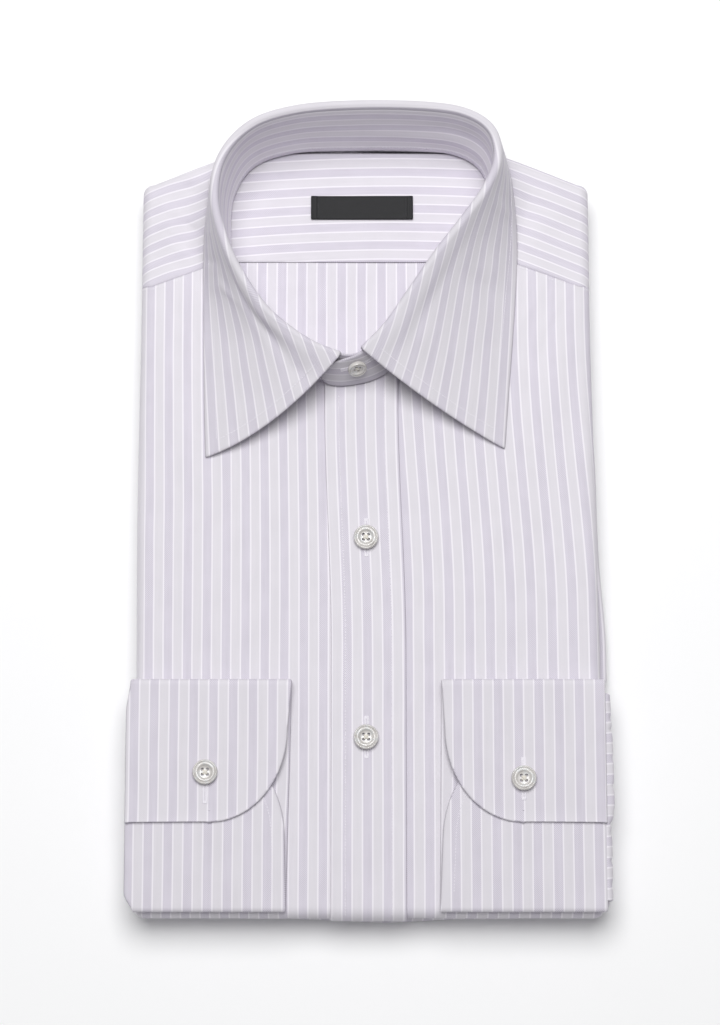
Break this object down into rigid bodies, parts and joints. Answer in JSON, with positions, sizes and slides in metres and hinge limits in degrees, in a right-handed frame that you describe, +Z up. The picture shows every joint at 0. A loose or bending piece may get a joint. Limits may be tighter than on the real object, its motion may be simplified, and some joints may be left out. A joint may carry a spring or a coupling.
{
  "type": "long sleeve dress shirt",
  "caption": "Striped long sleeve dress shirt, buttoned and folded flat for the shelf, with its collar standing and its cuffs laid on the front.",
  "frame": {"origin": "on the surface that the folded shirt lies on, under the middle of its bounding box", "axes": "+Z up from the surface, +Y from the hem fold towards the collar, +X towards the shirt's own left side, which is at the right when it is seen face up with the collar at the top"},
  "size_m": [0.2287, 0.3876, 0.0622],
  "materials": {
    "striped_cotton": "fine pinpoint weave, lavender and pale grey bands between narrow white stripes, pressed",
    "pearl_button": "polished mother-of-pearl look, pale grey with a soft sheen",
    "label_satin": "black woven satin, plain"
  },
  "bodies": {
    "root": {"folded_layers": "striped_cotton", "back": "striped_cotton", "yoke_inner": "striped_cotton", "yoke_outer": "striped_cotton", "front_right": "striped_cotton", "front_left": "striped_cotton", "placket": "striped_cotton", "collar_stand": "striped_cotton", "collar_leaf": "striped_cotton", "cuff_right": "striped_cotton", "cuff_left": "striped_cotton", "sleeve_right": "striped_cotton", "sleeve_left": "striped_cotton", "button_collar": "pearl_button", "button_front_1": "pearl_button", "button_front_2": "pearl_button", "button_cuff_right": "pearl_button", "button_cuff_left": "pearl_button", "label": "label_satin"}
  },
  "joints": []
}
